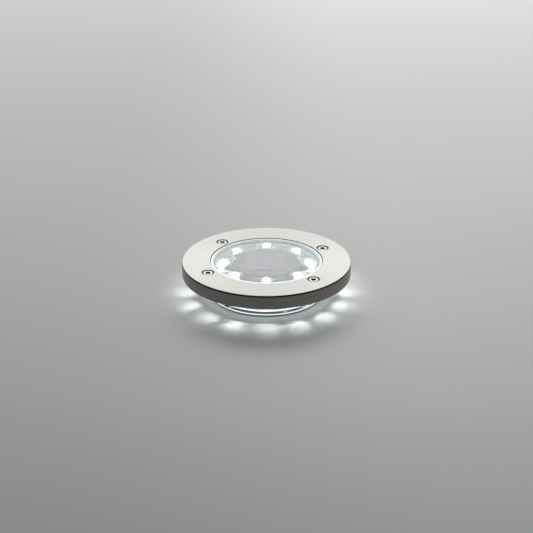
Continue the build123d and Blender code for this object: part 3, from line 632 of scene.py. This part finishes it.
# ------------------------------------------------------------------ stainless ring and its screws
def make_ring():
    ring = spun([
        (window_radius, ring_top), (ring_radius, ring_top), (ring_radius, ring_bottom),
        (skirt_inner, ring_bottom), (skirt_inner, flange_top), (pocket_radius, flange_top),
        (pocket_radius, lip_bottom), (window_radius, lip_bottom),
    ])
    round_ring(ring, ring_radius, ring_top, ring_edge_round, segments=4)
    round_ring(ring, ring_radius, ring_bottom, ring_edge_round, segments=4)
    round_ring(ring, skirt_inner, ring_bottom, soft_round, segments=2)
    round_ring(ring, window_radius, ring_top, soft_round, segments=2)
    round_ring(ring, window_radius, lip_bottom, fine_round, segments=2)
    sink_bottom = ring_top - (screw_sink_radius - screw_hole_radius)
    tools = []
    for angle in screw_angles:
        tools.append(spun([
            (0.0, flange_top - overshoot), (screw_hole_radius, flange_top - overshoot),
            (screw_hole_radius, sink_bottom), (screw_sink_radius, ring_top),
            (screw_sink_radius + overshoot, ring_top + overshoot), (0.0, ring_top + overshoot),
        ], small_steps, around(screw_circle, angle)))
    ring = carved(ring, joined(tools))
    materials = [stainless, sink_painted_shade]
    for face in ring.faces:
        middle = face.calc_center_median()
        reach = min(math.dist(middle.xy, around(screw_circle, angle)) for angle in screw_angles)
        upright = abs(face.normal.z) < 0.9
        in_sink = reach < screw_sink_radius and middle.z < ring_top - touch and upright
        near_window = middle.xy.length < window_radius + soft_round + touch
        # painted shade on the countersinks and the window's inner wall
        if in_sink or (near_window and face.normal.z < 0.95):
            face.material_index = materials.index(sink_painted_shade)
    return piece("ring_shell", ring, materials, "housing", ["bezel"])


def make_ring_screws():
    head_top = screw_high.z
    shank_end = screw_low.z
    cone = screw_head_radius - screw_shank_radius
    materials = [screw_steel, socket_painted_shade]
    screws = []
    for angle in screw_angles:
        centre = around(screw_circle, angle)
        screw = spun([
            (0.0, head_top), (screw_bright_radius, head_top),
            (screw_head_radius, head_top - screw_edge_drop),
            (screw_shank_radius, head_top - cone), (screw_shank_radius, shank_end + screw_tip_bevel),
            (screw_shank_radius - screw_tip_bevel, shank_end), (0.0, shank_end),
        ], small_steps, centre)
        outline = []
        for step in range(socket_steps):
            turn = step * 2 * math.pi / socket_steps
            x, y = around(socket_core + socket_wave * math.cos(socket_lobes * turn), turn)
            outline.append((centre[0] + x, centre[1] + y))
        screw = carved(screw, prism(outline, head_top - socket_depth, head_top + overshoot))
        for face in screw.faces:
            middle = face.calc_center_median()
            reach = math.dist(middle.xy, centre)
            sunk = head_top - socket_depth - touch < middle.z < head_top - touch
            in_socket = reach < socket_core + socket_wave and sunk
            # painted shade in the socket and round the head's edge
            edge_in_shade = reach > screw_bright_radius and middle.z > head_top - cone
            if in_socket or edge_in_shade:
                face.material_index = materials.index(socket_painted_shade)
        screws.append(screw)
    return piece("ring_screws", joined(screws), materials, "housing", ["bezel_screws"])


# ------------------------------------------------------------------ lens and gasket
def make_lens():
    lens = spun([
        (0.0, lens_bottom), (lens_rim_inner, lens_bottom), (lens_rim_inner, lens_rim_bottom),
        (lens_rim_radius, lens_rim_bottom), (lens_rim_radius, lip_bottom), (lens_radius, lip_bottom),
        (lens_radius, lens_top), (lens_radius - lens_border, lens_top), (0.0, lens_top),
    ])
    round_ring(lens, lens_radius, lens_top, lens_chamfer, segments=3)
    round_ring(lens, lens_rim_inner, lens_rim_bottom, soft_round, segments=2)
    round_ring(lens, lens_rim_radius, lens_rim_bottom, soft_round, segments=2)
    materials = [lens_clear, lit_border, lit_wall, step_shade]
    for face in lens.faces:
        middle = face.calc_center_median()
        reach = middle.xy.length
        on_border = reach > lens_radius - lens_border and middle.z > lens_top - touch
        on_wall = reach > lens_radius - lens_border and middle.z > lip_bottom + touch
        on_step = abs(reach - lens_rim_inner) < lens_step_reach and middle.z < lens_bottom - touch
        # painted glow on the border and the wall, painted shade on the step
        if on_border:
            face.material_index = materials.index(lit_border)
        elif on_wall:
            face.material_index = materials.index(lit_wall)
        elif on_step:
            face.material_index = materials.index(step_shade)
    return piece("lens_disc", lens, materials, "housing", ["lens"])


def make_gasket():
    outer = gasket_high.x
    pressed_top = gasket_high.z + gasket_press
    gasket = spun([
        (outer - gasket_width, gasket_low.z), (outer, gasket_low.z), (outer, pressed_top),
        (outer - gasket_width, pressed_top),
    ])
    soften(gasket, fine_round)
    return piece("gasket_ring", gasket, [milky_painted_glow], "housing", ["lens_gasket"])


# ------------------------------------------------------------------ clear cup
def make_cup():
    cup_inner = cup_radius - cup_wall
    drum_seat_radius = drum_high.x + drum_play
    drum_seat = cup_base - drum_seat_depth
    cup = spun([
        (drum_hole_radius, 0.0), (cup_radius, 0.0), (cup_radius, cup_height),
        (flange_radius, cup_height), (flange_radius, flange_top), (pocket_radius, flange_top),
        (pocket_radius, gasket_low.z), (cup_inner, gasket_low.z), (cup_inner, cup_height),
        (cup_inner, cup_base), (drum_seat_radius, cup_base), (drum_seat_radius, drum_seat),
        (drum_hole_radius, drum_seat),
    ])
    round_ring(cup, cup_radius, 0.0, cup_edge_round, segments=6)
    round_ring(cup, cup_inner, cup_base, cup_floor_round, segments=4)
    round_ring(cup, cup_radius, cup_height, flange_corner_round, segments=3)
    for height in lit_edge:
        whole = cup.verts[:] + cup.edges[:] + cup.faces[:]
        bmesh.ops.bisect_plane(cup, geom=whole, plane_co=(0, 0, height), plane_no=(0, 0, 1))
    bores = []
    for index in range(core_screw_count):
        angle = math.radians(core_screw_start) + index * 2 * math.pi / core_screw_count
        bores.append(spun([
            (0.0, -overshoot), (core_bore_radius, -overshoot), (core_bore_radius, core_bore_depth),
            (core_hole_radius, core_bore_depth), (core_hole_radius, cup_base + overshoot),
            (0.0, cup_base + overshoot),
        ], small_steps, around(core_screw_circle, angle)))
    cup = carved(cup, joined(bores))
    materials = [cup_clear, lit_flange, lit_base, pale_painted_light, edge_shade, lit_foot]
    for face in cup.faces:
        middle = face.calc_center_median()
        reach = middle.xy.length
        on_foot = reach > cup_radius - cup_edge_round
        # painted glow on the flange's underside, the base and the foot band, painted pale light on the
        # flange above, painted shade line under the foot band
        if reach > cup_radius and abs(middle.z - cup_height) < flange_reach:
            face.material_index = materials.index(lit_flange)
        elif middle.z > cup_height:
            face.material_index = materials.index(pale_painted_light)
        elif abs(middle.z - cup_base) < touch and face.normal.z > 0.9:
            face.material_index = materials.index(lit_base)
        elif on_foot and lit_edge[0] < middle.z < lit_edge[1]:
            face.material_index = materials.index(lit_foot)
        elif on_foot and dark_edge[0] < middle.z < dark_edge[1]:
            face.material_index = materials.index(edge_shade)
    return piece("cup_shell", cup, materials, "housing", ["clear_housing"])


# ------------------------------------------------------------------ cut optics
optics_materials = [optics_clear, pale_painted_light, lit_well]


def make_gem():
    """One cut optic with its nose towards the drum, on the +X side."""
    tail_x = math.sqrt(optics_radius**2 - (optics_tail / 2) ** 2)
    right = [
        (optics_start, -optics_nose / 2),
        (optics_start + optics_front_cut, -optics_waist / 2),
        (tail_x - optics_back_cut, -optics_waist / 2),
        (tail_x, -optics_tail / 2),
    ]
    outline = right + [(x, -y) for x, y in reversed(right)]
    girdle = optics_top - optics_crown
    gem = prism(outline, optics_bottom + optics_plate / 2, girdle)
    roof = max(gem.faces, key=lambda face: face.calc_center_median().z)
    bmesh.ops.inset_region(gem, faces=[roof], thickness=optics_crown_inset, depth=0.0)
    bmesh.ops.translate(gem, vec=(0, 0, optics_crown), verts=roof.verts)
    soften(gem, optics_edge, angle=20, segments=1)
    return gem


def make_well():
    """Well of one optic, glowing with painted light of the diode: wide at the top, pointed at the foot.
    """
    top = optics_top - well_cover
    foot = optics_bottom + optics_plate + well_foot_rise
    centre = (well_reach, 0.0)
    well = spun([
        (0.0, foot), (well_foot_radius, foot), (well_top_radius, top - well_shoulder),
        (well_top_radius, top), (0.0, top),
    ], well_steps, centre)
    round_ring(well, well_top_radius, top, well_edge_round, segments=2, centre=centre)
    for face in well.faces:
        face.material_index = optics_materials.index(lit_well)
    return well


def make_optics():
    plate_top = optics_bottom + optics_plate
    plate = spun([
        (optics_plate_inner, optics_bottom), (optics_radius, optics_bottom),
        (optics_radius, plate_top), (optics_plate_inner, plate_top),
    ])
    # painted light: the plate is coloured pale and opaque
    for face in plate.faces:
        face.material_index = optics_materials.index(pale_painted_light)
    shapes = [plate]
    for angle in led_angles:
        shapes.append(turned(make_gem(), angle))
        shapes.append(turned(make_well(), angle))
    return piece("optics_ring", joined(shapes), optics_materials, "housing",
                 ["crystal_ring"], smooth=8)


# ------------------------------------------------------------------ light emitting diodes
def make_leds():
    length = led_tip - led_root
    dome_centre = length - led_radius
    dome_steps = 8
    dome = []
    for step in range(1, dome_steps):
        x, y = around(led_radius, step * math.pi / 2 / dome_steps)
        dome.append((x, dome_centre + y))
    lying = Matrix.Translation((led_root, 0, led_axis)) @ Matrix.Rotation(math.pi / 2, 4, "Y")
    materials = [led_glow, diode_body]
    for index, angle in enumerate(led_angles, start=1):
        led = spun([
            (0.0, 0.0), (led_collar_radius, 0.0), (led_collar_radius, led_collar_length),
            (led_radius, led_collar_length), (led_radius, dome_centre), *dome, (0.0, length),
        ], small_steps)
        for face in led.faces:
            if face.calc_center_median().z < length - 2 * led_radius:
                face.material_index = materials.index(diode_body)
        bmesh.ops.transform(led, matrix=lying, verts=led.verts)
        piece(f"diode_{index}", turned(led, angle), materials, "housing", [f"led_{index}"])


# ------------------------------------------------------------------ solar disc
def make_disc():
    disc = spun([
        (0.0, disc_low.z), (disc_high.x, disc_low.z), (disc_high.x, disc_high.z), (0.0, disc_high.z),
    ])
    round_ring(disc, disc_high.x, disc_high.z, soft_round, segments=3)
    materials = [panel_plastic, panel_edge_painted_light]
    for face in disc.faces:
        # painted light: the disc's edge is coloured paler than its top
        if abs(face.normal.z) < 0.9:
            face.material_index = materials.index(panel_edge_painted_light)
    return piece("disc_carrier", disc, materials, "housing", ["panel_disc"])


def make_solar_cell():
    half = cell_high.x
    outline = []
    for across, up in ((1, 1), (-1, 1), (-1, -1), (1, -1)):
        side_end = (across * half, up * (half - cell_corner))
        end_end = (across * (half - cell_corner), up * half)
        outline.extend([side_end, end_end] if across * up > 0 else [end_end, side_end])
    wafer = prism(outline, cell_low.z, cell_high.z)
    soften(wafer, cell_edge, angle=60, segments=1)
    materials = [cell_wafer, panel_edge_painted_light]
    for face in wafer.faces:
        # painted light: the cell's edge is coloured paler than its top
        if abs(face.normal.z) < 0.9:
            face.material_index = materials.index(panel_edge_painted_light)
    return piece("cell_sheet", wafer, materials, "housing", ["solar_cell"])


# ------------------------------------------------------------------ finishes of the kept pieces
kept_finishes = {
    "threaded_inserts": brass, "led_leads": silver, "core_tub": drum_plastic,
    "core_seal": black_rubber, "core_screws": screw_steel, "cell_busbars": cell_silver,
    "panel_leads": silver, "control_board": board_green, "driver_chip": black_part,
    "inductor": black_part, "capacitor": black_part, "battery_cradle": black_part,
    "cradle_screws": screw_steel, "battery_cell": battery_sleeve, "contact_plus": nickel,
    "contact_minus": nickel, "battery_spring": nickel, "battery_cap": cap_plastic,
    "cap_seal": black_rubber, "cap_pad": foam_open, "power_button": button_rubber,
    "button_seal": black_rubber, "switch_body": black_part, "switch_plunger": button_rubber,
}


def dress_kept_nodes():
    for name, material in kept_finishes.items():
        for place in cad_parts[name].material_slots:
            place.material = material


# ------------------------------------------------------------------ floor, light and camera
def make_floor():
    finish = Finish("floor_grey", Roughness=0.7)
    x, y, _ = finish.axes()
    near, far = -0.35, 1.0
    depth = finish.span(y, near, far, smooth=False)
    ramp = finish.node("ShaderNodeValToRGB", {0: depth})
    # painted light falloff: the floor is coloured darker towards the front
    painted_falloff_greys = (
        (near, 0.29), (-0.24, 0.356), (-0.15, 0.406), (0.18, 0.513), (0.28, 0.536), (0.55, 0.56),
        (0.94, 0.59),
    )
    stops = ramp.color_ramp.elements
    while len(stops) < len(painted_falloff_greys):
        stops.new(0.5)
    for stop, (place, grey) in zip(stops, painted_falloff_greys):
        stop.position = (place - near) / (far - near)
        stop.color = (grey, grey, grey, 1)
    # painted shade: the floor is coloured darker towards the left
    scaled = finish.node("ShaderNodeVectorMath", {0: ramp.outputs[0]}, operation="SCALE")
    finish.tree.links.new(finish.span(x, -0.16, 0.12, 0.81, 1.0), scaled.inputs["Scale"])
    finish.feed("Base Color", scaled.outputs[0])
    floor = bmesh.new()
    level = Matrix.Translation((0, 0, floor_level))
    bmesh.ops.create_grid(floor, x_segments=8, y_segments=8, size=floor_half, matrix=level)
    mesh = bpy.data.meshes.new("floor")
    floor.to_mesh(mesh)
    floor.free()
    mesh.materials.append(finish.material)
    made = bpy.data.objects.new("floor", mesh)
    bpy.context.scene.collection.objects.link(made)


def make_world():
    """A dim even sky with a brighter wall at the back, which the steel and the clear pieces mirror."""
    dim, bright_wall, mirrored_sky, backdrop = 0.40, 1.32, 0.66, 0.62
    world = bpy.data.worlds.new("studio")
    bpy.context.scene.world = world
    world.use_nodes = True
    tree = world.node_tree
    background = tree.nodes["Background"]

    def node(kind, inputs, **settings):
        made = tree.nodes.new(kind)
        for name, value in settings.items():
            setattr(made, name, value)
        for socket, value in inputs.items():
            if isinstance(value, bpy.types.NodeSocket):
                tree.links.new(value, made.inputs[socket])
            else:
                made.inputs[socket].default_value = value
        return made.outputs[0]

    def span(value, low, high, new_low, new_high, kind="LINEAR"):
        inputs = {0: value, 1: low, 2: high, 3: new_low, 4: new_high}
        return node("ShaderNodeMapRange", inputs, interpolation_type=kind)

    def choose(factor, first, second):
        return node("ShaderNodeMix", {"Factor": factor, 2: first, 3: second}, data_type="FLOAT")

    direction = tree.nodes.new("ShaderNodeTexCoord").outputs["Generated"]
    split = tree.nodes.new("ShaderNodeSeparateXYZ")
    tree.links.new(direction, split.inputs[0])
    rightward, backward, upward = split.outputs
    back = span(backward, 0.3, 0.85, 0.0, 1.0, "SMOOTHSTEP")
    low = span(upward, 0.45, 0.8, 1.0, 0.0, "SMOOTHSTEP")
    wall = node("ShaderNodeMath", {0: back, 1: low}, operation="MULTIPLY")
    side = span(rightward, -0.6, 0.6, 0.78, 1.14)
    lit_part = node("ShaderNodeMath", {0: wall, 1: side}, operation="MULTIPLY")
    strength = span(lit_part, 0.0, 1.2, dim, bright_wall)
    sky = span(upward, 0.0, 0.5, dim, mirrored_sky, "SMOOTHSTEP")
    glossy = node("ShaderNodeMath", {0: sky, 1: strength}, operation="MAXIMUM")
    paths = tree.nodes.new("ShaderNodeLightPath").outputs
    mirrored = choose(paths["Is Glossy Ray"], strength, glossy)
    total = choose(paths["Is Camera Ray"], mirrored, backdrop)
    tree.links.new(total, background.inputs["Strength"])
    background.inputs["Color"].default_value = (1, 1, 1, 1)


def make_lamp(name, kind, energy, place, target, colour=(1, 1, 1), unseen_by=(), **settings):
    data = bpy.data.lights.new(name, kind)
    data.energy = energy
    data.color = colour
    for setting, value in settings.items():
        setattr(data, setting, value)
    lamp = bpy.data.objects.new(name, data)
    lamp.location = place
    aim = Vector(target) - Vector(place)
    lamp.rotation_euler = aim.to_track_quat("-Z", "Y").to_euler()
    for rays in unseen_by:
        setattr(lamp, f"visible_{rays}", False)
    bpy.context.scene.collection.objects.link(lamp)
    return lamp


all_but_surfaces = ("camera", "glossy", "transmission")     # such a lamp shows only by what it lights


def make_studio_lamps():
    centre = (0, 0, 0)
    make_lamp("key_softbox", "AREA", energy=83.0, place=(0.0, 2.54, 2.2), target=centre,
              shape="RECTANGLE", size=2.2, size_y=1.25, unseen_by=("glossy", "transmission"))
    make_lamp("overhead", "AREA", energy=0.03, place=(0, 0, 0.4), target=centre,
              shape="DISK", size=0.2, spread=math.radians(75), unseen_by=all_but_surfaces)


def make_floor_glow():
    """The light that leaves the cup: sixteen lobes on the floor, an even glow and the pools inside."""
    beam_place = (48 * mm, 13.5 * mm)       # radius and height of each small lamp under the flange
    beam_aim = 58.5 * mm                    # radius of the lobe on the floor
    for index in range(beam_count):
        angle = index * 2 * math.pi / beam_count
        place = (*around(beam_place[0], angle), beam_place[1])
        target = (*around(beam_aim, angle), 0)
        make_lamp(f"beam_{index}", "AREA", energy=0.0013, place=place, target=target,
                  colour=(0.94, 1.0, 0.98), shape="RECTANGLE", size=12 * mm, size_y=1 * mm,
                  spread=math.radians(71), unseen_by=all_but_surfaces)
    glow_height = 5 * mm
    make_lamp("under_glow", "AREA", energy=0.018, place=(0, 0, glow_height), target=(0, 0, 0),
              colour=(0.93, 1.0, 0.99), shape="DISK", size=94 * mm, unseen_by=all_but_surfaces)
    pool_place = (36.6 * mm, 12 * mm)       # radius and height, behind each diode's tip
    pool_aim = 34 * mm
    for index, angle in enumerate(led_angles):
        place = (*around(pool_place[0], angle), pool_place[1])
        target = (*around(pool_aim, angle), 0)
        make_lamp(f"pool_{index}", "SPOT", energy=0.008, place=place, target=target,
                  colour=(1.0, 0.99, 0.92), spot_size=math.radians(60), spot_blend=0.8,
                  shadow_soft_size=0.3 * mm, unseen_by=("camera", "transmission"))


def make_camera():
    camera_place = (0.0, -0.8404, 0.3973)
    camera_dip = 24.162                     # degrees below the level
    data = bpy.data.cameras.new("camera")
    data.lens = 87.27
    data.sensor_width = 36.0
    data.clip_start = 0.01
    camera = bpy.data.objects.new("camera", data)
    camera.location = camera_place
    camera.rotation_euler = (math.radians(90 - camera_dip), 0, 0)
    bpy.context.scene.collection.objects.link(camera)
    bpy.context.scene.camera = camera


bpy.context.scene.view_settings.view_transform = "Standard"
make_camera()
make_ring()
make_ring_screws()
make_lens()
make_gasket()
make_cup()
make_optics()
make_leds()
make_disc()
make_solar_cell()
dress_kept_nodes()
make_floor()
make_world()
make_studio_lamps()
make_floor_glow()
